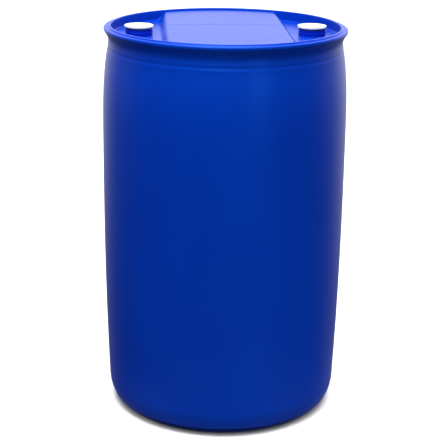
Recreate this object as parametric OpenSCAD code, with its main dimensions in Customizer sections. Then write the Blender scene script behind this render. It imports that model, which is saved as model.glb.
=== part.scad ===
// Tight-head plastic drum, 220 litres, with one moulded carrying ring and two 2 inch bungs.
// Origin: centre of the base, on the floor. +Z up. The bungs lie on the X axis.

/* [Drum] */
// Height over the carrying ring
drum_h = 935; // [900:1:960]
// Radius of the belly, the widest part
belly_r = 290.8; // [285:0.1:296]
// Height of the belly above the floor
belly_z = 635; // [560:5:680]
// Wall thickness of the blown body
wall_t = 3.8; // [3:0.1:5]
// Thickness of the base
base_t = 5; // [4:0.5:8]
// Height of the bottom corner's curve
corner_h = 67; // [50:1:80]
// Radial width of the bottom corner's curve
corner_w = 42; // [30:1:55]
// How far the side draws in from the belly to the bottom corner
lower_draw = 10.5; // [6:0.5:14]
// How far the side draws in from the belly to the shoulder
upper_draw = 10.6; // [6:0.1:14]
// Rise of the base's hollow at its centre
base_rise = 14; // [8:1:20]
// Radius of the flat ring that the drum stands on, at its inner edge
foot_in_r = 214; // [200:1:225]

/* [Shoulder] */
// Height of the soft groove round the shoulder
groove_z = 883; // [880:1:886]
// Depth of the soft groove
groove_d = 1.6; // [0.5:0.1:2.5]
// Half width of the soft groove
groove_w = 7; // [5:0.5:8]
// Radius of the waist under the carrying ring
waist_r = 276.4; // [275:0.1:278]
// Height of the waist under the carrying ring
waist_z = 901; // [898:0.5:903]

/* [Carrying ring] */
// Outer radius of the carrying ring
ring_r = 287; // [285:0.1:290]
// Radius of the ring's inner wall
ring_in_r = 269.5; // [268:0.1:271]
// Rounding of the ring's outer lip
ring_round = 3.6; // [2:0.2:4.6]
// Height of the ledge between the lip and the raised rim
ledge_z = 931.5; // [930:0.5:933]
// Outer radius of the raised rim, which is the drum's highest part
rim_r = 276; // [275:0.5:278]
// Rounding of the ring's top inner edge
ring_in_round = 2.5; // [1.5:0.5:4]
// Height of the ring's lower edge, where its underside starts
ring_under_z = 923.5; // [918:0.5:925]
// Radius of the ring's lower edge, drawn in under the lip
ring_low_r = 286.4; // [285:0.1:286.6]

/* [Head] */
// Height of the raised middle panel
panel_z = 930; // [926:0.5:931]
// Height of the floor of the two bung wells
well_z = 911; // [909:0.5:914]
// Distance from the centre to the top of each slope
panel_x = 134; // [128:1:140]
// Distance from the centre to the foot of each slope
slope_x = 156; // [152:1:162]
// Thickness of the head
head_t = 4; // [3:0.5:5]
// Offset of the mould seam from the bung line
seam_y = 35; // [33.5:0.5:45]
// Depth of the mould seam
seam_d = 0.9; // [0.5:0.1:1.2]
// Width of the mould seam
seam_w = 3; // [2:0.5:5]

/* [Necks and bungs] */
// Distance of each bung from the centre
bung_x = 204; // [200:1:208]
// Outer radius of the neck
neck_r = 31.8; // [31.6:0.1:32.6]
// Height of the neck's rim
neck_top = 925.5; // [925:0.1:925.9]
// Radius of the neck's weld flange, under the head
neck_flange_r = 41; // [38:1:46]
// Pitch of the 2 inch buttress thread
thread_p = 4; // [3.5:0.1:4.5]
// Outer radius of the bung's thread
male_r = 27.7; // [27.4:0.1:27.9]
// Depth of the thread
thread_d = 1.7; // [1.5:0.1:1.8]
// Radius of the bung's flange
flange_r = 32; // [31.6:0.1:32.6]
// Thickness of the bung's flange
flange_t = 3.5; // [3:0.1:3.8]
// Thickness of the bung's gasket
gasket_t = 3; // [2.6:0.1:3.2]

/* [Vent plug] */
// Pitch of the 3/4 inch thread
vent_p = 1.814; // [1.7:0.001:2]
// Outer radius of the vent plug's thread
vent_r = 13; // [12.8:0.1:13.1]
// Depth of the vent plug's thread
vent_d = 0.9; // [0.7:0.1:1]
// Thickness of the vent plug's gasket
vent_gasket_t = 1.5; // [1:0.1:2]

/* [Cap seals] */
// Outer radius of the cap seal
cap_r = 33.9; // [33.5:0.1:35]
// Height of the cap seal's flat top
cap_top = 934.2; // [934:0.1:934.6]
// Height of the cap seal's skirt
cap_skirt = 4.4; // [3.6:0.1:5.2]

/* [Hidden] */
$fn = 96;

drum_blue = [0.02, 0.14, 0.62];
neck_blue = [0.02, 0.05, 0.55];
white = [0.96, 0.96, 0.95];
rubber_black = [0.08, 0.08, 0.08];

shoulder_z = 875;
base_r = belly_r - lower_draw - corner_w;
rim_slope = 1.8;
rim_edge = 0.8;

// Neck and bung. The two threads share one helix, half a pitch apart.
thread_gap = 0.6;
thread_turns = 3.5;
thread_root = 1.1;
thread_crest = 0.5;
female_r = male_r + thread_gap;
male_core_r = male_r - thread_d;
female_crest_r = male_core_r + thread_gap + 0.1;
weld_t = 3.5;
skirt_r = 31.2;
neck_bottom = well_z - head_t - weld_t - 5;
bung_bottom = neck_top - 18.5;
thread_foot = bung_bottom + 2;
flange_z = neck_top + gasket_t;
gasket_in_r = 28.9;
gasket_out_r = 31;
cup_r = 22.6;
cup_floor = bung_bottom + 3.5;
root_sink = 0.5;
bead_z = 918.1;
bead_d = 0.6;
weld_gap = 0.05;

// Vent plug and its boss
vent_gap = 0.35;
vent_turns = 3.25;
vent_root = 0.5;
vent_crest = 0.22;
vent_female_r = vent_r + vent_gap;
vent_core_r = vent_r - vent_d;
vent_female_crest_r = vent_core_r + vent_gap;
boss_r = 17.2;
boss_top = bung_bottom + 12;
vent_flange_z = boss_top + vent_gasket_t;
vent_flange_t = 3;
vent_flange_r = 16.4;
vent_gasket_r = 16;
vent_bottom = boss_top - 9;
vent_foot = vent_bottom + 1.5;
vent_cup_r = 9;
vent_rib_t = 2.4;

// Cap seal
cap_t = 1.7;
cap_edge = 1.2;
cap_clear = 0.4;

// Side of the drum between the bottom corner and the shoulder: radius at a height
function side_r(z) = z < belly_z
    ? belly_r - lower_draw * pow((belly_z - z) / (belly_z - corner_h), 2.5)
    : belly_r - upper_draw * pow((z - belly_z) / (shoulder_z - belly_z), 3.8);

// A soft groove or bead: 1 at its centre, falling to 0 at its half width
function swell(z, mid, half) = abs(z - mid) < half ? (1 + cos(180 * (z - mid) / half)) / 2 : 0;

// Smooth step from 0 to 1
function ease(t) = (1 - cos(180 * max(0, min(1, t)))) / 2;

// Shoulder between the side and the waist: radius at a height
function shoulder_r(z) =
    side_r(shoulder_z) + (waist_r - side_r(shoulder_z)) * ease((z - shoulder_z) / (waist_z - shoulder_z))
    - groove_d * swell(z, groove_z, groove_w);

// Points of the side from the corner up to the waist, moved inwards by inset
function side_points(inset) = concat(
    [for (k = [0:13]) let (z = corner_h + k * (shoulder_z - corner_h) / 14) [side_r(z) - inset, z]],
    [for (k = [0:16]) let (z = shoulder_z + k * (waist_z - shoulder_z) / 16) [shoulder_r(z) - inset, z]]
);

// Points of the base and its corner, from the centre outwards
function base_points(lift, inset) = concat(
    [for (k = [0:6]) let (r = k * foot_in_r / 6) [r, lift + base_rise * (1 - ease(r / foot_in_r))]],
    [for (k = [0:11]) let (a = 7.5 * k)
        [base_r + (corner_w - inset) * sin(a), lift + (corner_h - lift) * (1 - cos(a))]]
);

// Underside, face and top of the carrying ring, from the waist to its inner wall
function ring_points() = concat(
    [for (k = [0:8]) let (t = k / 8)
        [waist_r + (ring_low_r - waist_r) * (1 - cos(90 * t)), waist_z + (ring_under_z - waist_z) * t]],
    [for (k = [0:5]) let (a = 18 * k)
        [ring_r - ring_round * (1 - cos(a)), ledge_z - ring_round * (1 - sin(a))]],
    [[rim_r + rim_slope, ledge_z], [rim_r, drum_h - rim_edge], [rim_r - rim_edge, drum_h]],
    [for (k = [0:4]) let (a = 22.5 * k)
        [ring_in_r + ring_in_round * (1 - sin(a)), drum_h - ring_in_round * (1 - cos(a))]],
    [[ring_in_r, waist_z]]
);

// Cross-section of the head along X: flat panel, two slopes and two well floors
function head_line(drop) = concat(
    [[-ring_in_r - 1, well_z - drop]],
    [for (k = [0:8]) let (t = k / 8)
        [-slope_x + t * (slope_x - panel_x), well_z + (panel_z - well_z) * ease(t) - drop]],
    [for (k = [8:-1:0]) let (t = k / 8)
        [slope_x - t * (slope_x - panel_x), well_z + (panel_z - well_z) * ease(t) - drop]],
    [[ring_in_r + 1, well_z - drop]]
);

function reversed(list) = [for (k = [len(list) - 1:-1:0]) list[k]];

// One turn-by-turn ridge. r_root is inside the wall that carries it; r_crest is its free edge.
module thread_ridge(r_root, r_crest, foot, pitch, turns, half_root, half_crest) {
    per_turn = 30;
    n = round(turns * per_turn);
    fade = per_turn / 3;
    points = [for (k = [0:n])
        let (
            a = 360 * k / per_turn,
            z = foot + pitch * k / per_turn,
            grow = min(1, k / fade, (n - k) / fade),
            r = r_root + (r_crest - r_root) * (0.2 + 0.8 * grow),
            sides = [[r_root, -half_root], [r, -half_crest], [r, half_crest], [r_root, half_root]]
        )
        for (s = sides) [s[0] * cos(a), s[0] * sin(a), z + s[1]]];
    outward = r_crest > r_root;
    quads = [for (k = [0:n - 1], s = [0:3])
        let (p = 4 * k + s, q = 4 * k + (s + 1) % 4)
        each [[p, q, p + 4], [q, q + 4, p + 4]]];
    ends = [[3, 2, 1, 0], [4 * n, 4 * n + 1, 4 * n + 2, 4 * n + 3]];
    faces = concat(quads, ends);
    polyhedron(points, outward ? faces : [for (f = faces) reversed(f)], convexity = 10);
}

module at_bung(side) {
    translate([side * bung_x, 0, 0]) children();
}

// A solid turned from a list of [radius, height] points
module turned(points) {
    rotate_extrude($fn = 180) polygon(points);
}

// Base, side and shoulder. The body, ring and head are regions of one blow moulding.
module drum_body() {
    color(drum_blue)
    turned(concat(
        base_points(0, 0),
        side_points(0),
        reversed(side_points(wall_t)),
        reversed(base_points(base_t, wall_t))
    ));
}

// L-shaped ring above the waist, which grabs and stackers take hold of
module carrying_ring() {
    color(drum_blue)
    turned(ring_points());
}

// The head's cross-section between two depths, run along Y and cut to a circle
module head_layer(top, bottom, length, r) {
    intersection() {
        rotate([90, 0, 0])
            linear_extrude(length, center = true)
                polygon(concat(head_line(bottom), reversed(head_line(top))));
        translate([0, 0, well_z - 2 * head_t])
            cylinder(r = r, h = drum_h - well_z + 2 * head_t, $fn = 180);
    }
}

// Raised middle panel, two slopes and two well floors with a hole for each neck
module drum_head() {
    color(drum_blue)
    difference() {
        head_layer(0, head_t, 2 * ring_in_r + 2, ring_in_r);
        mould_seam();
        for (side = [-1, 1])
            at_bung(side)
                translate([0, 0, well_z - head_t - 1])
                    cylinder(r = neck_r + weld_gap, h = head_t + 2);
    }
}

// Shallow groove that the two mould halves leave across the head
module mould_seam() {
    intersection() {
        translate([0, seam_y, 0])
            head_layer(-1, seam_d, seam_w, drum_h);
        cylinder(r = ring_in_r - 2, h = drum_h, $fn = 180);
    }
}

// Injection-moulded threaded insert, welded under the head by its flange
module neck(side) {
    color(neck_blue)
    at_bung(side) {
        turned([
            [female_r, neck_bottom],
            [skirt_r, neck_bottom],
            [skirt_r, well_z - head_t - weld_t],
            [neck_flange_r, well_z - head_t - weld_t],
            [neck_flange_r, well_z - head_t],
            [neck_r, well_z - head_t],
            [neck_r, bead_z - 2 * bead_d],
            [neck_r + bead_d, bead_z - bead_d / 2],
            [neck_r + bead_d, bead_z + bead_d / 2],
            [neck_r, bead_z + 2 * bead_d],
            [neck_r, neck_top - 3 * bead_d],
            [neck_r + bead_d, neck_top - 2 * bead_d],
            [neck_r + bead_d, neck_top - bead_d],
            [neck_r, neck_top],
            [female_r, neck_top],
        ]);
        thread_ridge(female_r + root_sink, female_crest_r, thread_foot - thread_p / 2, thread_p,
            thread_turns, thread_root, thread_crest);
    }
}

// 2 inch bung: flange, threaded barrel and a cup with lugs for the bung wrench
module bung_shape(floor_hole) {
    edge = 0.8;
    lower_edge = 1.2;
    turned([
        [floor_hole, bung_bottom],
        [male_core_r - edge, bung_bottom],
        [male_core_r, bung_bottom + edge],
        [male_core_r, flange_z],
        [flange_r - lower_edge, flange_z],
        [flange_r, flange_z + lower_edge],
        [flange_r, flange_z + flange_t - edge],
        [flange_r - edge, flange_z + flange_t],
        [cup_r + edge, flange_z + flange_t],
        [cup_r, flange_z + flange_t - edge],
        [cup_r, cup_floor],
        [floor_hole, cup_floor],
    ]);
    thread_ridge(male_core_r - root_sink, male_r, thread_foot, thread_p,
        thread_turns, thread_root, thread_crest);
}

// Four lugs round the cup, for the bung wrench
module bung_lugs(reach, wide) {
    for (a = [0:90:270])
        rotate(a)
            translate([cup_r - reach, -wide / 2, cup_floor - 1])
                cube([reach + 1, wide, flange_z - cup_floor]);
}

module bung_left() {
    color(white)
    at_bung(-1) {
        bung_shape(0);
        bung_lugs(7, 5);
    }
}

// The right bung also holds a 3/4 inch vent plug in a boss on its floor
module bung_right() {
    color(white)
    at_bung(1) {
        bung_shape(vent_female_r);
        bung_lugs(3.4, 5);
        turned([
            [vent_female_r, bung_bottom],
            [boss_r, bung_bottom],
            [boss_r, boss_top],
            [vent_female_r, boss_top],
        ]);
        thread_ridge(vent_female_r + root_sink, vent_female_crest_r, vent_foot - vent_p / 2, vent_p,
            vent_turns, vent_root, vent_crest);
    }
}

// Flat ring between the bung's flange and the neck's rim
module bung_gasket(side) {
    color(rubber_black)
    at_bung(side)
        turned([
            [gasket_in_r, neck_top],
            [gasket_out_r, neck_top],
            [gasket_out_r, flange_z],
            [gasket_in_r, flange_z],
        ]);
}

// 3/4 inch plug: flange, threaded barrel and a cup with a grip bar across it
module vent_plug() {
    edge = 0.5;
    rib_l = 2 * vent_cup_r + 1;
    color(white)
    at_bung(1) {
        turned([
            [0, vent_bottom],
            [vent_core_r - edge, vent_bottom],
            [vent_core_r, vent_bottom + edge],
            [vent_core_r, vent_flange_z],
            [vent_flange_r - edge, vent_flange_z],
            [vent_flange_r, vent_flange_z + edge],
            [vent_flange_r, vent_flange_z + vent_flange_t - edge],
            [vent_flange_r - edge, vent_flange_z + vent_flange_t],
            [vent_cup_r, vent_flange_z + vent_flange_t],
            [vent_cup_r, vent_bottom + 2.5],
            [0, vent_bottom + 2.5],
        ]);
        translate([-rib_l / 2, -vent_rib_t / 2, vent_bottom + 1])
            cube([rib_l, vent_rib_t, vent_flange_z + 1 - vent_bottom]);
        thread_ridge(vent_core_r - root_sink, vent_r, vent_foot, vent_p,
            vent_turns, vent_root, vent_crest);
    }
}

module vent_plug_gasket() {
    color(rubber_black)
    at_bung(1)
        turned([
            [vent_female_r + 0.4, boss_top],
            [vent_gasket_r, boss_top],
            [vent_gasket_r, vent_flange_z],
            [vent_female_r + 0.4, vent_flange_z],
        ]);
}

// Plain white tamper-evident cap over the bung
module cap_seal(side) {
    color(white)
    at_bung(side)
        turned([
            [0, cap_top - cap_t],
            [flange_r + cap_clear, cap_top - cap_t],
            [flange_r + cap_clear, cap_top - cap_skirt],
            [cap_r, cap_top - cap_skirt],
            [cap_r, cap_top - cap_edge],
            [cap_r - cap_edge * (1 - cos(45)), cap_top - cap_edge * (1 - sin(45))],
            [cap_r - cap_edge, cap_top],
            [0, cap_top],
        ]);
}

drum_body();
carrying_ring();
drum_head();
neck(-1);  // neck_left
neck(1);  // neck_right
bung_left();
bung_right();
bung_gasket(-1);  // bung_gasket_left
bung_gasket(1);  // bung_gasket_right
vent_plug();
vent_plug_gasket();
cap_seal(-1);  // cap_seal_left
cap_seal(1);  // cap_seal_right
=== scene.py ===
import math

import bpy
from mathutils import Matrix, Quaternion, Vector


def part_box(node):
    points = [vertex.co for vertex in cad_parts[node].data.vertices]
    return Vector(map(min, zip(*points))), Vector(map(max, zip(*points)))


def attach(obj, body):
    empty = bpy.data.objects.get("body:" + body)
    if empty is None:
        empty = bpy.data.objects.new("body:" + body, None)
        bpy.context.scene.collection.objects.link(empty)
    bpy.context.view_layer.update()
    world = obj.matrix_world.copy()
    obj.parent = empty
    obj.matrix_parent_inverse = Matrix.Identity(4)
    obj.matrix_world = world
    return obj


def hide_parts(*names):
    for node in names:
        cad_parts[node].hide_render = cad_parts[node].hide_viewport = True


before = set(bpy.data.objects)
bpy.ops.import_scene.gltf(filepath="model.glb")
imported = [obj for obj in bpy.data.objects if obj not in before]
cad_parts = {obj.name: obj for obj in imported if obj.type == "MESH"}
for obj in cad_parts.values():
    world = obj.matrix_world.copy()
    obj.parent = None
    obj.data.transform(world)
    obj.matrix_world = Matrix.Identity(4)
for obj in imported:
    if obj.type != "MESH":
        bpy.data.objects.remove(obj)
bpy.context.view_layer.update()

# ---------------------------------------------------------------- drum
# The body, the carrying ring and the head are one blow moulding in high-density
# polyethylene. The parison is pinched between two mould halves, which leave a seam
# across the head; the wall is about 3.8 mm thick and hollow all through.
drum_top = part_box("carrying_ring")[1].z
waist_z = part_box("carrying_ring")[0].z
ring_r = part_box("carrying_ring")[1].x
belly_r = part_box("drum_body")[1].x - 0.00015
ring_in_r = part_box("drum_head")[1].x
well_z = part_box("drum_head")[0].z + 0.004
panel_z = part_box("drum_head")[1].z
corner_h = 0.067
corner_w = 0.042
belly_z = 0.635
lower_draw = 0.0105
upper_draw = 0.0106
shoulder_z = 0.875
groove_z = 0.883
groove_w = 0.007
groove_d = 0.0012
waist_r = 0.2764
ring_low_r = 0.2864
ring_under_z = 0.9235
lip_round = 0.0036
ledge_z = 0.9315
rim_foot_r = 0.2776
rim_r = 0.276
rim_in_r = 0.272
ring_in_round = 0.0025
well_round = 0.004
wall = 0.0038
base_wall = 0.005
head_wall = 0.004
foot_in_r = 0.214
base_rise = 0.014
base_r = belly_r - lower_draw - corner_w
panel_x = 0.134
slope_x = 0.156
seam_y = 0.035
seam_d = 0.0009
bung_x = 0.204
neck_hole_r = 0.03185
hair = 0.00001


def ease(t):
    return (1 - math.cos(math.pi * max(0.0, min(1.0, t)))) / 2


def side_radius(z):
    if z < belly_z:
        return belly_r - lower_draw * ((belly_z - z) / (belly_z - corner_h)) ** 2.5
    return belly_r - upper_draw * ((z - belly_z) / (shoulder_z - belly_z)) ** 3.8


def shoulder_radius(z):
    groove = max(0.0, 1 - abs(z - groove_z) / groove_w)
    drawn_in = ease((z - shoulder_z) / (waist_z - shoulder_z))
    r = side_radius(shoulder_z) + (waist_r - side_radius(shoulder_z)) * drawn_in
    return r - groove_d * ease(groove)


def wall_line(lift, inset):
    """Base, corner, side and shoulder, from the centre of the base up to the waist."""
    line = [(foot_in_r * k / 12, lift + base_rise * (1 - ease(k / 12))) for k in range(13)]
    for k in range(17):
        a = math.radians(90 * k / 16)
        line.append((base_r + (corner_w - inset) * math.sin(a), lift + (corner_h - lift) * (1 - math.cos(a))))
    for k in range(1, 37):
        z = corner_h + (shoulder_z - corner_h) * k / 36
        line.append((side_radius(z) - inset, z))
    for k in range(1, 27):
        z = shoulder_z + (waist_z - shoulder_z) * k / 26
        line.append((shoulder_radius(z) - inset, z))
    return line


def deselect():
    bpy.ops.object.select_all(action="DESELECT")


def turn(name, line, steps):
    """A profile drawn point by point in the XZ plane, spun once round the Z axis."""
    deselect()
    bpy.ops.mesh.primitive_plane_add(size=0.001, location=(0, 0, 0))
    piece = bpy.context.object
    piece.name = name
    bpy.ops.object.mode_set(mode="EDIT")
    bpy.ops.mesh.merge(type="CENTER")
    bpy.ops.transform.translate(value=(line[0][0], 0, line[0][1]))
    for (r0, z0), (r1, z1) in zip(line, line[1:]):
        bpy.ops.mesh.extrude_region_move(TRANSFORM_OT_translate={"value": (r1 - r0, 0, z1 - z0)})
    bpy.ops.mesh.select_all(action="SELECT")
    bpy.ops.mesh.spin(steps=steps, angle=2 * math.pi, center=(0, 0, 0), axis=(0, 0, 1))
    bpy.ops.mesh.select_all(action="SELECT")
    bpy.ops.mesh.remove_doubles(threshold=0.000004)
    bpy.ops.mesh.normals_make_consistent(inside=False)
    bpy.ops.object.mode_set(mode="OBJECT")
    return piece


def select_vertices(piece, wanted):
    """In edit mode: selects the vertices, and the faces between them, that the test picks."""
    deselect()
    bpy.context.view_layer.objects.active = piece
    piece.select_set(True)
    bpy.ops.object.mode_set(mode="EDIT")
    bpy.ops.mesh.select_mode(type="VERT")
    bpy.ops.mesh.select_all(action="DESELECT")
    bpy.ops.object.mode_set(mode="OBJECT")
    for v in piece.data.vertices:
        v.select = wanted(v.co)
    bpy.ops.object.mode_set(mode="EDIT")
    bpy.ops.mesh.select_mode(type="VERT")


def join(piece, *others):
    deselect()
    for o in (*others, piece):
        o.select_set(True)
    bpy.context.view_layer.objects.active = piece
    bpy.ops.object.join()


def cut_out(piece, cutter):
    """Cuts the cutter's shape out of the piece, then throws the cutter away."""
    deselect()
    bpy.context.view_layer.objects.active = piece
    piece.select_set(True)
    hole = piece.modifiers.new("cut", "BOOLEAN")
    hole.operation = "DIFFERENCE"
    hole.solver = "EXACT"
    hole.object = cutter
    bpy.ops.object.modifier_apply(modifier="cut")
    bpy.data.objects.remove(cutter)


def smooth(piece, degrees):
    deselect()
    bpy.context.view_layer.objects.active = piece
    piece.select_set(True)
    bpy.ops.object.shade_smooth_by_angle(angle=math.radians(degrees))


def arc(steps, start=0):
    """Angles from 0 to a right angle."""
    return [math.radians(90 * k / steps) for k in range(start, steps + 1)]


# The underside curves in below a thin lip; above the lip are a ledge and a raised rim.
ring_line = [
    (waist_r + (ring_low_r - waist_r) * (1 - math.cos(math.radians(90 * k / 12))),
     waist_z + (ring_under_z - waist_z) * k / 12)
    for k in range(1, 12)
]
ring_line += [
    (ring_low_r - 0.0005, ring_under_z - 0.0006), (ring_low_r - 0.00005, ring_under_z - 0.0001),
    (ring_low_r + 0.0002, ring_under_z + 0.0006),
]
ring_line += [
    (ring_r - lip_round * (1 - math.cos(a)), ledge_z - lip_round * (1 - math.sin(a))) for a in arc(8)
]
ring_line += [
    (rim_foot_r + 0.0005, ledge_z), (rim_foot_r, ledge_z + 0.0001), (rim_foot_r - 0.00036, ledge_z + 0.0004),
    (rim_r, drum_top - 0.0009), (rim_r - 0.0003, drum_top - 0.0003), (rim_r - 0.001, drum_top),
    (rim_in_r, drum_top),
]
ring_line += [
    (ring_in_r + ring_in_round * (1 - math.sin(a)), drum_top - ring_in_round * (1 - math.cos(a)))
    for a in arc(6, 1)
]
ring_line += [
    (ring_in_r - well_round * (1 - math.cos(a)), well_z + well_round * (1 - math.sin(a))) for a in arc(6)
]
floor_line = [(r, well_z) for r in (0.252, 0.225, 0.19, 0.15, 0.1, 0.05, 0.0)]

shell = turn("drum_moulding", wall_line(0, 0) + ring_line + floor_line, 256)
hollow = turn(
    "hollow",
    wall_line(base_wall, wall) + [(ring_in_r, waist_z), (ring_in_r, well_z - head_wall)]
    + [(r, well_z - head_wall) for r in (0.24, 0.2, 0.15, 0.1, 0.05, 0.0)],
    128,
)
slope_cuts = 16
slope_w = slope_x - panel_x


def head_rise(x):
    """How far the head is pressed up at x, in straight steps, so that each face stays flat."""
    t = slope_cuts * max(0.0, min(1.0, (slope_x - abs(x)) / slope_w))
    k = min(slope_cuts - 1, int(t))
    low, high = ease(k / slope_cuts), ease((k + 1) / slope_cuts)
    return (panel_z - well_z) * (low + (t - k) * (high - low))


def within(co, reach):
    """Whether a point above the waist is nearer to the axis than the reach."""
    return math.hypot(co.x, co.y) < reach and co.z > waist_z + 0.001


# Cuts along each slope, with one more on each side of it, and along the seam's edges.
seam_reach = ring_in_r - well_round + 10 * hair
for part in (shell, hollow):
    for side in (-1, 1):
        for k in range(-1, slope_cuts + 2):
            select_vertices(part, lambda co: within(co, ring_in_r + hair))
            cut_x = side * (panel_x + slope_w * k / slope_cuts)
            bpy.ops.mesh.bisect(plane_co=(cut_x, 0, 0), plane_no=(1, 0, 0))
            bpy.ops.object.mode_set(mode="OBJECT")
for offset in (-0.0015, -0.0005, 0.0005, 0.0015):
    select_vertices(shell, lambda co: within(co, seam_reach))
    bpy.ops.mesh.bisect(plane_co=(0, seam_y + offset, 0), plane_no=(0, 1, 0))
    bpy.ops.object.mode_set(mode="OBJECT")

# The head is pressed up in the middle: a flat panel between two slopes.
for v in hollow.data.vertices:
    if math.hypot(v.co.x, v.co.y) <= ring_in_r + hair and well_z - head_wall - 10 * hair <= v.co.z <= drum_top:
        v.co.z += head_rise(v.co.x)
round_foot = drum_top - ring_in_round
for v in shell.data.vertices:
    reach = math.hypot(v.co.x, v.co.y)
    if reach <= ring_in_r + hair and well_z - head_wall - 10 * hair <= v.co.z <= round_foot:
        share = min(1.0, (round_foot - v.co.z) / (round_foot - well_z))
        if reach < seam_reach and abs(v.co.y - seam_y) < 0.0006:
            v.co.z -= seam_d
        v.co.z += head_rise(v.co.x) * share

deselect()
bpy.context.view_layer.objects.active = hollow
hollow.select_set(True)
bpy.ops.object.mode_set(mode="EDIT")
bpy.ops.mesh.select_all(action="SELECT")
bpy.ops.mesh.flip_normals()
bpy.ops.object.mode_set(mode="OBJECT")
join(shell, hollow)
for side in (-1, 1):
    deselect()
    bpy.ops.mesh.primitive_cylinder_add(
        vertices=96, radius=neck_hole_r, depth=0.02, location=(side * bung_x, 0, well_z - head_wall / 2)
    )
    cut_out(shell, bpy.context.object)

# A plain ring and dot in the left well, where the mould's date insert leaves its mark.
mark_at = (-0.2515, 0.004, well_z)
deselect()
bpy.ops.mesh.primitive_torus_add(
    major_segments=64, minor_segments=12, major_radius=0.0072, minor_radius=0.0006, location=mark_at
)
bpy.ops.object.transform_apply(location=True, rotation=True, scale=True)
join(shell, bpy.context.object)
deselect()
bpy.ops.mesh.primitive_cylinder_add(vertices=48, radius=0.0022, depth=0.0014, location=mark_at)
bpy.ops.object.transform_apply(location=True, rotation=True, scale=True)
join(shell, bpy.context.object)
smooth(shell, 28)

blue = bpy.data.materials.new("blue_hdpe")
blue.use_nodes = True
nodes, links = blue.node_tree.nodes, blue.node_tree.links
coat = nodes["Principled BSDF"]
place = nodes.new("ShaderNodeTexCoord")


def noise(scale, detail, stretch=(1, 1, 1)):
    """A noise on Object coordinates in the material that is being made, stretched along an axis."""
    mapping = nodes.new("ShaderNodeMapping")
    mapping.inputs["Scale"].default_value = stretch
    links.new(place.outputs["Object"], mapping.inputs["Vector"])
    node = nodes.new("ShaderNodeTexNoise")
    node.inputs["Scale"].default_value = scale
    node.inputs["Detail"].default_value = detail
    links.new(mapping.outputs["Vector"], node.inputs["Vector"])
    return node.outputs["Fac"]


def spread(value, low, high, out_low, out_high):
    node = nodes.new("ShaderNodeMapRange")
    for i, v in enumerate((low, high, out_low, out_high), 1):
        node.inputs[i].default_value = v
    links.new(value, node.inputs[0])
    return node.outputs[0]


def bump(height, distance, below=None):
    node = nodes.new("ShaderNodeBump")
    node.inputs["Distance"].default_value = distance
    links.new(height, node.inputs["Height"])
    if below:
        links.new(below, node.inputs["Normal"])
    return node.outputs["Normal"]


def tint(factor, colour_a, colour_b):
    """Mixes two colours by a factor; the first may be another tint's output."""
    node = nodes.new("ShaderNodeMix")
    node.data_type = "RGBA"
    if isinstance(colour_a, tuple):
        node.inputs[6].default_value = (*colour_a, 1)
    else:
        links.new(colour_a, node.inputs[6])
    node.inputs[7].default_value = (*colour_b, 1)
    links.new(factor, node.inputs[0])
    return node.outputs[2]


coat.inputs["IOR"].default_value = 1.42
coat.inputs["Specular Tint"].default_value = (0.05, 0.35, 1.0, 1)
wave = noise(5.0, 2.0, (1, 1, 0.45))
grain = noise(1500.0, 2.0)
scuff = spread(noise(60.0, 5.0, (1, 1, 9)), 0.66, 0.76, 0, 0.35)
mottled = tint(spread(wave, 0.3, 0.7, 0, 1), (0.0004, 0.026, 0.330), (0.0007, 0.032, 0.370))
links.new(tint(scuff, mottled, (0.02, 0.07, 0.42)), coat.inputs["Base Color"])
links.new(spread(noise(40.0, 4.0), 0.3, 0.7, 0.335, 0.365), coat.inputs["Roughness"])
links.new(bump(grain, 0.00002, bump(wave, 0.0002)), coat.inputs["Normal"])
shell.data.materials.clear()
shell.data.materials.append(blue)
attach(shell, "drum")
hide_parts("drum_body", "carrying_ring", "drum_head")

# ---------------------------------------------------------------- necks
# Two injection-moulded inserts in the same plastic, with a 2 inch buttress thread
# inside. Each is welded under the head by its flange, and stands up through a hole in
# the well's floor.
rim_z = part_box("neck_left")[1].z
neck_foot_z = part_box("neck_left")[0].z
neck_flange_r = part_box("neck_left")[1].x + bung_x
neck_r = 0.0318
neck_bore = 0.0283
neck_skirt_r = 0.0312
flange_z = well_z - 0.0075
under_head_z = well_z - 0.00402
bead = 0.0006
thread_pitch = 0.004
thread_turns = 3.5
thread_foot = rim_z - 0.0165
thread_half_root = 0.0011
thread_half_crest = 0.0005
thread_overlap = 0.0005


def fillet(corner, a, b, size, steps=4):
    """Points that round off a profile's corner, between the points before and after it."""
    da = math.dist(corner, a)
    db = math.dist(corner, b)
    p = [corner[i] + (a[i] - corner[i]) * size / da for i in (0, 1)]
    q = [corner[i] + (b[i] - corner[i]) * size / db for i in (0, 1)]
    points = []
    for k in range(steps + 1):
        t = k / steps
        points.append(tuple((1 - t) ** 2 * p[i] + 2 * t * (1 - t) * corner[i] + t * t * q[i] for i in (0, 1)))
    return points


def rounded(line, size):
    """A profile with every inner corner rounded."""
    result = [line[0]]
    for a, corner, b in zip(line, line[1:], line[2:]):
        result += fillet(corner, a, b, min(size, 0.45 * math.dist(corner, a), 0.45 * math.dist(corner, b)))
    return result + [line[-1]]


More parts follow.
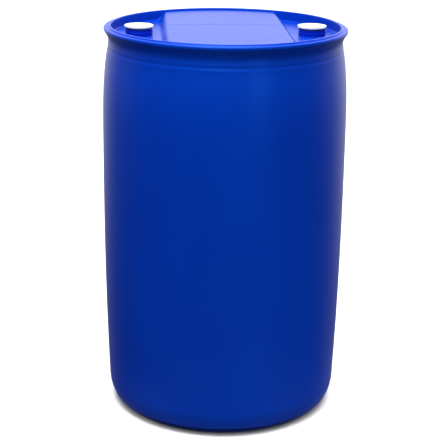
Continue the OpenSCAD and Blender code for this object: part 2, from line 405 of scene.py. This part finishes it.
def add_thread(piece, root_r, crest_r, foot, pitch, turns, half_root, half_crest):
    """A helical ridge, made with a screw of its cross-section and joined to the piece."""
    deselect()
    bpy.ops.mesh.primitive_plane_add(size=0.001, location=(0, 0, 0), rotation=(math.radians(90), 0, 0))
    ridge = bpy.context.object
    bpy.ops.object.transform_apply(location=True, rotation=True, scale=True)
    bpy.ops.object.mode_set(mode="EDIT")
    bpy.ops.mesh.delete(type="ONLY_FACE")
    bpy.ops.object.mode_set(mode="OBJECT")
    for v in ridge.data.vertices:
        top, outer = v.co.z > 0, v.co.x > 0
        v.co.x = max(root_r, crest_r) if outer else min(root_r, crest_r)
        half = half_crest if (outer == (crest_r > root_r)) else half_root
        v.co.z = foot + (half if top else -half)
    helix = ridge.modifiers.new("helix", "SCREW")
    helix.angle = 2 * math.pi * turns
    helix.screw_offset = pitch * turns
    helix.steps = helix.render_steps = round(48 * turns)
    helix.use_merge_vertices = False
    bpy.ops.object.modifier_apply(modifier="helix")
    bpy.ops.object.mode_set(mode="EDIT")
    bpy.ops.mesh.select_all(action="SELECT")
    bpy.ops.mesh.fill_holes(sides=4)
    bpy.ops.mesh.select_all(action="SELECT")
    bpy.ops.mesh.normals_make_consistent(inside=False)
    bpy.ops.object.mode_set(mode="OBJECT")
    join(piece, ridge)


def put(piece, x, material, body, node):
    """Moves a piece made on the Z axis to its place, and ties it to the frame."""
    deselect()
    bpy.context.view_layer.objects.active = piece
    piece.select_set(True)
    bpy.ops.transform.translate(value=(x, 0, 0))
    bpy.ops.object.transform_apply(location=True, rotation=True, scale=True)
    piece.data.materials.clear()
    piece.data.materials.append(material)
    smooth(piece, 35)
    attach(piece, body)
    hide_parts(node)


def copy_of(piece, name):
    deselect()
    piece.select_set(True)
    bpy.context.view_layer.objects.active = piece
    bpy.ops.object.duplicate(linked=False)
    bpy.context.object.name = name
    return bpy.context.object


neck = turn(
    "neck_insert_left",
    rounded([
        (neck_bore, 0.912), (neck_bore, neck_foot_z), (neck_skirt_r, neck_foot_z), (neck_skirt_r, flange_z),
        (neck_flange_r, flange_z), (neck_flange_r, under_head_z), (neck_r, under_head_z),
        (neck_r, 0.9169), (neck_r + bead, 0.9176), (neck_r + bead, 0.9186), (neck_r, 0.9193),
        (neck_r, rim_z - 0.0020), (neck_r + bead, rim_z - 0.0014), (neck_r + bead, rim_z - 0.0005),
        (neck_r - 0.0002, rim_z), (neck_bore, rim_z), (neck_bore, 0.912),
    ], 0.0005),
    128,
)
add_thread(
    neck, neck_bore + thread_overlap, 0.0267, thread_foot - thread_pitch / 2, thread_pitch, thread_turns,
    thread_half_root, thread_half_crest,
)
second_neck = copy_of(neck, "neck_insert_right")

# The necks' blue has less green than the body's: painted shade, standing in for the deeper blue the necks show
# in shadow under the caps.
neck_blue_painted_shade = bpy.data.materials.new("neck_blue_hdpe")
neck_blue_painted_shade.use_nodes = True
nodes, links = neck_blue_painted_shade.node_tree.nodes, neck_blue_painted_shade.node_tree.links
coat = nodes["Principled BSDF"]
place = nodes.new("ShaderNodeTexCoord")
coat.inputs["IOR"].default_value = 1.34
coat.inputs["Specular Tint"].default_value = (0.02, 0.15, 1.0, 1)
links.new(tint(noise(90.0, 3.0), (0.0012, 0.014, 0.32), (0.0018, 0.020, 0.42)), coat.inputs["Base Color"])
links.new(spread(noise(300.0, 3.0), 0.3, 0.7, 0.28, 0.38), coat.inputs["Roughness"])
links.new(bump(noise(2200.0, 2.0), 0.00002), coat.inputs["Normal"])
for piece, x, node in ((neck, -bung_x, "neck_left"), (second_neck, bung_x, "neck_right")):
    put(piece, x, neck_blue_painted_shade, "drum", node)

# ---------------------------------------------------------------- gaskets
# Flat rubber rings: one between each bung's flange and the neck's rim, and a small one
# under the vent plug's flange. They are cut from sheet and held by the clamping force.
seat_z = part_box("bung_gasket_left")[1].z
vent_seat_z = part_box("vent_plug_gasket")[1].z
vent_gasket_t = 0.0015
rubber = bpy.data.materials.new("black_rubber")
rubber.use_nodes = True
nodes, links = rubber.node_tree.nodes, rubber.node_tree.links
coat = nodes["Principled BSDF"]
place = nodes.new("ShaderNodeTexCoord")
links.new(tint(noise(500.0, 3.0), (0.006, 0.006, 0.007), (0.014, 0.014, 0.015)), coat.inputs["Base Color"])
links.new(spread(noise(800.0, 2.0), 0.3, 0.7, 0.6, 0.8), coat.inputs["Roughness"])
links.new(bump(noise(2500.0, 3.0), 0.00003), coat.inputs["Normal"])
for name, x, node, inner_r, outer_r, foot, top, body in (
    ("gasket_left", -bung_x, "bung_gasket_left", 0.0289, 0.0310, rim_z, seat_z, "seal_left"),
    ("gasket_right", bung_x, "bung_gasket_right", 0.0289, 0.0310, rim_z, seat_z, "seal_right"),
    ("vent_gasket", bung_x, "vent_plug_gasket", 0.01375, 0.0160,
     vent_seat_z - vent_gasket_t, vent_seat_z, "vent_seal"),
):
    middle = (foot + top) / 2
    line = [
        (inner_r, middle), (inner_r, foot), (outer_r, foot), (outer_r, top), (inner_r, top), (inner_r, middle)
    ]
    put(turn(name, rounded(line, 0.0004), 96), x, rubber, body, node)

# ---------------------------------------------------------------- bungs
# Two white injection-moulded 2 inch bungs. Each has a threaded barrel under its flange
# and an open cup with four lugs for the bung wrench; the right one also carries a
# threaded boss for the vent plug.
bung_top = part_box("bung_left")[1].z
bung_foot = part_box("bung_left")[0].z
bung_flange_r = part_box("bung_left")[1].x + bung_x
flange_edge = 0.0012
core_r = 0.0260
bung_thread_r = 0.0277
cup_r = 0.0226
cup_floor = bung_foot + 0.0035
boss_r = 0.0172
boss_top = vent_seat_z - vent_gasket_t
vent_bore = 0.01335
vent_pitch = 0.001814
vent_turns = 3.25
vent_foot = boss_top - 0.0075
vent_half_root = 0.0005
vent_half_crest = 0.00022

white = bpy.data.materials.new("white_closure_plastic")
white.use_nodes = True
nodes, links = white.node_tree.nodes, white.node_tree.links
coat = nodes["Principled BSDF"]
place = nodes.new("ShaderNodeTexCoord")
links.new(tint(noise(60.0, 3.0), (0.68, 0.72, 0.71), (0.75, 0.79, 0.77)), coat.inputs["Base Color"])
links.new(spread(noise(250.0, 3.0), 0.3, 0.7, 0.34, 0.46), coat.inputs["Roughness"])
links.new(bump(noise(1800.0, 2.0), 0.00002), coat.inputs["Normal"])
coat.inputs["Subsurface Weight"].default_value = 0.08
coat.inputs["Subsurface Radius"].default_value = (0.004, 0.004, 0.004)
coat.inputs["Subsurface Scale"].default_value = 1.0


def block(place_at, size, angle=0.0):
    """A box with bevelled edges, turned about the Z axis."""
    deselect()
    bpy.ops.mesh.primitive_cube_add(size=1, location=place_at)
    box = bpy.context.object
    box.scale = size
    bpy.ops.object.transform_apply(location=True, rotation=True, scale=True)
    edges = box.modifiers.new("edges", "BEVEL")
    edges.width = 0.0004
    edges.segments = 3
    bpy.ops.object.modifier_apply(modifier="edges")
    bpy.ops.transform.rotate(value=angle, orient_axis="Z", center_override=(0, 0, 0))
    bpy.ops.object.transform_apply(location=True, rotation=True, scale=True)
    return box


def bung(name, floor_hole, lug_reach):
    """The bung's turned body with its thread and the four lugs in its cup."""
    line = [
        (core_r, bung_foot), (core_r, seat_z),
        (bung_flange_r - flange_edge, seat_z), (bung_flange_r, seat_z + flange_edge),
        (bung_flange_r, bung_top), (cup_r, bung_top), (cup_r, cup_floor),
    ]
    if floor_hole:
        line = [(floor_hole, bung_foot + 0.001), (floor_hole, bung_foot)] + line
        line += [(boss_r, cup_floor), (boss_r, boss_top), (floor_hole, boss_top), line[0]]
    else:
        line = [(0, bung_foot)] + line + [(0, cup_floor)]
    piece = turn(name, rounded(line, 0.0007), 128)
    add_thread(
        piece, core_r - thread_overlap, bung_thread_r, thread_foot, thread_pitch, thread_turns,
        thread_half_root, thread_half_crest,
    )
    lug_h = seat_z - cup_floor
    for k in range(4):
        place_at = (cup_r - lug_reach / 2 + 0.0005, 0, cup_floor - 0.0005 + lug_h / 2)
        join(piece, block(place_at, (lug_reach + 0.001, 0.005, lug_h), math.pi / 2 * k))
    return piece


put(bung("bung_closure_left", 0, 0.007), -bung_x, white, "bung_left", "bung_left")
vented = bung("bung_closure_right", vent_bore, 0.0034)
add_thread(
    vented, vent_bore + thread_overlap, 0.01245, vent_foot - vent_pitch / 2, vent_pitch, vent_turns,
    vent_half_root, vent_half_crest,
)
put(vented, bung_x, white, "bung_right", "bung_right")

# ---------------------------------------------------------------- vent plug
# A white 3/4 inch plug in the right bung's boss, injection-moulded, with a flange over
# its gasket and a grip bar across its cup.
vent_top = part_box("vent_plug")[1].z
vent_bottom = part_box("vent_plug")[0].z
vent_flange_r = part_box("vent_plug")[1].x - bung_x
vent_core_r = 0.0121
plug_cup_r = 0.009
plug_floor = vent_bottom + 0.0025
plug = turn(
    "vent_plug_closure",
    rounded([
        (0, vent_bottom), (vent_core_r, vent_bottom), (vent_core_r, vent_seat_z), (vent_flange_r, vent_seat_z),
        (vent_flange_r, vent_top), (plug_cup_r, vent_top), (plug_cup_r, plug_floor), (0, plug_floor),
    ], 0.0005),
    96,
)
add_thread(
    plug, vent_core_r - thread_overlap, 0.0130, vent_foot, vent_pitch, vent_turns,
    vent_half_root, vent_half_crest,
)
grip_middle = (vent_bottom + vent_seat_z) / 2 + 0.001
join(plug, block((0, 0, grip_middle), (2 * plug_cup_r + 0.0008, 0.0024, vent_seat_z - vent_bottom)))
put(plug, bung_x, white, "vent_plug", "vent_plug")

# ---------------------------------------------------------------- cap seals
# Plain white tamper-evident caps, injection-moulded in thin plastic. Each drops over a
# bung's flange by its skirt, and is torn off before the drum is opened.
cap_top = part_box("cap_seal_left")[1].z
cap_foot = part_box("cap_seal_left")[0].z
cap_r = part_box("cap_seal_left")[1].x + bung_x
inside_r = 0.0324
cap_wall = 0.0017
dish_r = 0.0285
dish_d = 0.0004
cap = turn(
    "cap_seal_cover_left",
    rounded([
        (0, cap_top - cap_wall), (inside_r, cap_top - cap_wall), (inside_r, cap_foot), (cap_r, cap_foot),
        (cap_r, cap_top - 0.0002), (cap_r - 0.0004, cap_top), (dish_r, cap_top),
        (dish_r - 0.0006, cap_top - dish_d), (0, cap_top - dish_d),
    ], 0.0011),
    160,
)
second_cap = copy_of(cap, "cap_seal_cover_right")
put(cap, -bung_x, white, "cap_left", "cap_seal_left")
put(second_cap, bung_x, white, "cap_right", "cap_seal_right")

# ---------------------------------------------------------------- studio
# A plain pale floor, with soft light from overhead and from behind, and a camera at a
# standing person's height, with a long lens.
deselect()
bpy.ops.mesh.primitive_plane_add(size=60, location=(0, 0, 0))
ground = bpy.context.object
ground.name = "ground"
pale = bpy.data.materials.new("pale_floor")
pale.use_nodes = True
nodes, links = pale.node_tree.nodes, pale.node_tree.links
coat = nodes["Principled BSDF"]
place = nodes.new("ShaderNodeTexCoord")
links.new(tint(noise(0.7, 2.0), (0.84, 0.84, 0.84), (0.87, 0.87, 0.87)), coat.inputs["Base Color"])
coat.inputs["Roughness"].default_value = 0.95
coat.inputs["Specular IOR Level"].default_value = 0.0
ground.data.materials.append(pale)

world = bpy.data.worlds.new("studio")
bpy.context.scene.world = world
world.use_nodes = True
nodes, links = world.node_tree.nodes, world.node_tree.links
nodes["Background"].inputs["Color"].default_value = (1.0, 1.0, 1.0, 1)
place = nodes.new("ShaderNodeTexCoord")
axes = nodes.new("ShaderNodeSeparateXYZ")
links.new(place.outputs["Generated"], axes.inputs[0])
facing = nodes.new("ShaderNodeVectorMath")
facing.operation = "DOT_PRODUCT"
facing.inputs[1].default_value = (math.sin(math.radians(9)), math.cos(math.radians(9)), 0)
links.new(place.outputs["Generated"], facing.inputs[0])
behind = spread(facing.outputs["Value"], 0.36, 0.98, 0.20, 1.5)
nodes[-1].interpolation_type = "SMOOTHSTEP"
above = spread(axes.outputs["Z"], -0.34, -0.10, 0.16, 1.0)
lit = nodes.new("ShaderNodeMath")
lit.operation = "MULTIPLY"
links.new(behind, lit.inputs[0])
links.new(above, lit.inputs[1])
seen = nodes.new("ShaderNodeLightPath")
strength = nodes.new("ShaderNodeMix")
strength.inputs[3].default_value = 1.0
links.new(seen.outputs["Is Camera Ray"], strength.inputs[0])
links.new(lit.outputs[0], strength.inputs[2])
links.new(strength.outputs[0], nodes["Background"].inputs["Strength"])
ground.visible_glossy = False
ground.visible_diffuse = False


def softbox(name, place_at, aim, width, height, power):
    bpy.ops.object.light_add(type="AREA", location=place_at)
    box = bpy.context.object
    box.name = name
    box.data.shape = "RECTANGLE"
    box.data.size = width
    box.data.size_y = height
    box.data.energy = power
    direction = [aim[i] - place_at[i] for i in range(3)]
    box.rotation_euler = (
        math.atan2(math.hypot(direction[0], direction[1]), -direction[2]), 0,
        math.atan2(direction[1], direction[0]) - math.pi / 2,
    )
    box.visible_camera = False
    return box


softbox("overhead", (-0.5, -0.6, 2.6), (0, 0, 0.7), 1.6, 1.4, 40)
softbox("right_front", (1.35, -2.75, 1.05), (0.05, -0.25, 0.8), 0.5, 0.9, 8)
softbox("front", (-0.4, -2.8, 2.2), (0, 0, 0.4), 2.0, 1.2, 24)
for fill in (
    softbox("reflector", (0, -0.85, 0.02), (0, -0.85, 1.0), 1.8, 0.7, 2.2),
    softbox("left_fill", (-2.8, 0.7, 1.0), (0, 0, 0.5), 1.0, 1.6, 20),
    softbox("right_fill", (2.8, 0.7, 1.0), (0, 0, 0.5), 1.0, 1.6, 26),
):
    fill.visible_glossy = False
bpy.ops.object.light_add(type="SUN", location=(0, -2, 4), rotation=(math.radians(10), 0, math.radians(8)))
bpy.context.object.data.energy = 4.6
bpy.context.object.data.angle = math.radians(44)

pitch = math.radians(17.08)
turn_left = math.radians(4.0)
roll = math.radians(0.84)
bpy.ops.object.camera_add(location=(-0.2191, -3.1333, 1.428))
camera = bpy.context.object
camera.data.sensor_width = 36
camera.data.lens = 109.5545
camera.data.shift_x = -0.007045
camera.data.shift_y = -0.0075
camera.rotation_mode = "QUATERNION"
camera.rotation_quaternion = (
    Quaternion((0, 0, 1), -turn_left)
    @ Quaternion((1, 0, 0), math.radians(90) - pitch)
    @ Quaternion((0, 0, 1), roll)
)
bpy.context.scene.camera = camera
bpy.context.scene.view_settings.view_transform = "Standard"
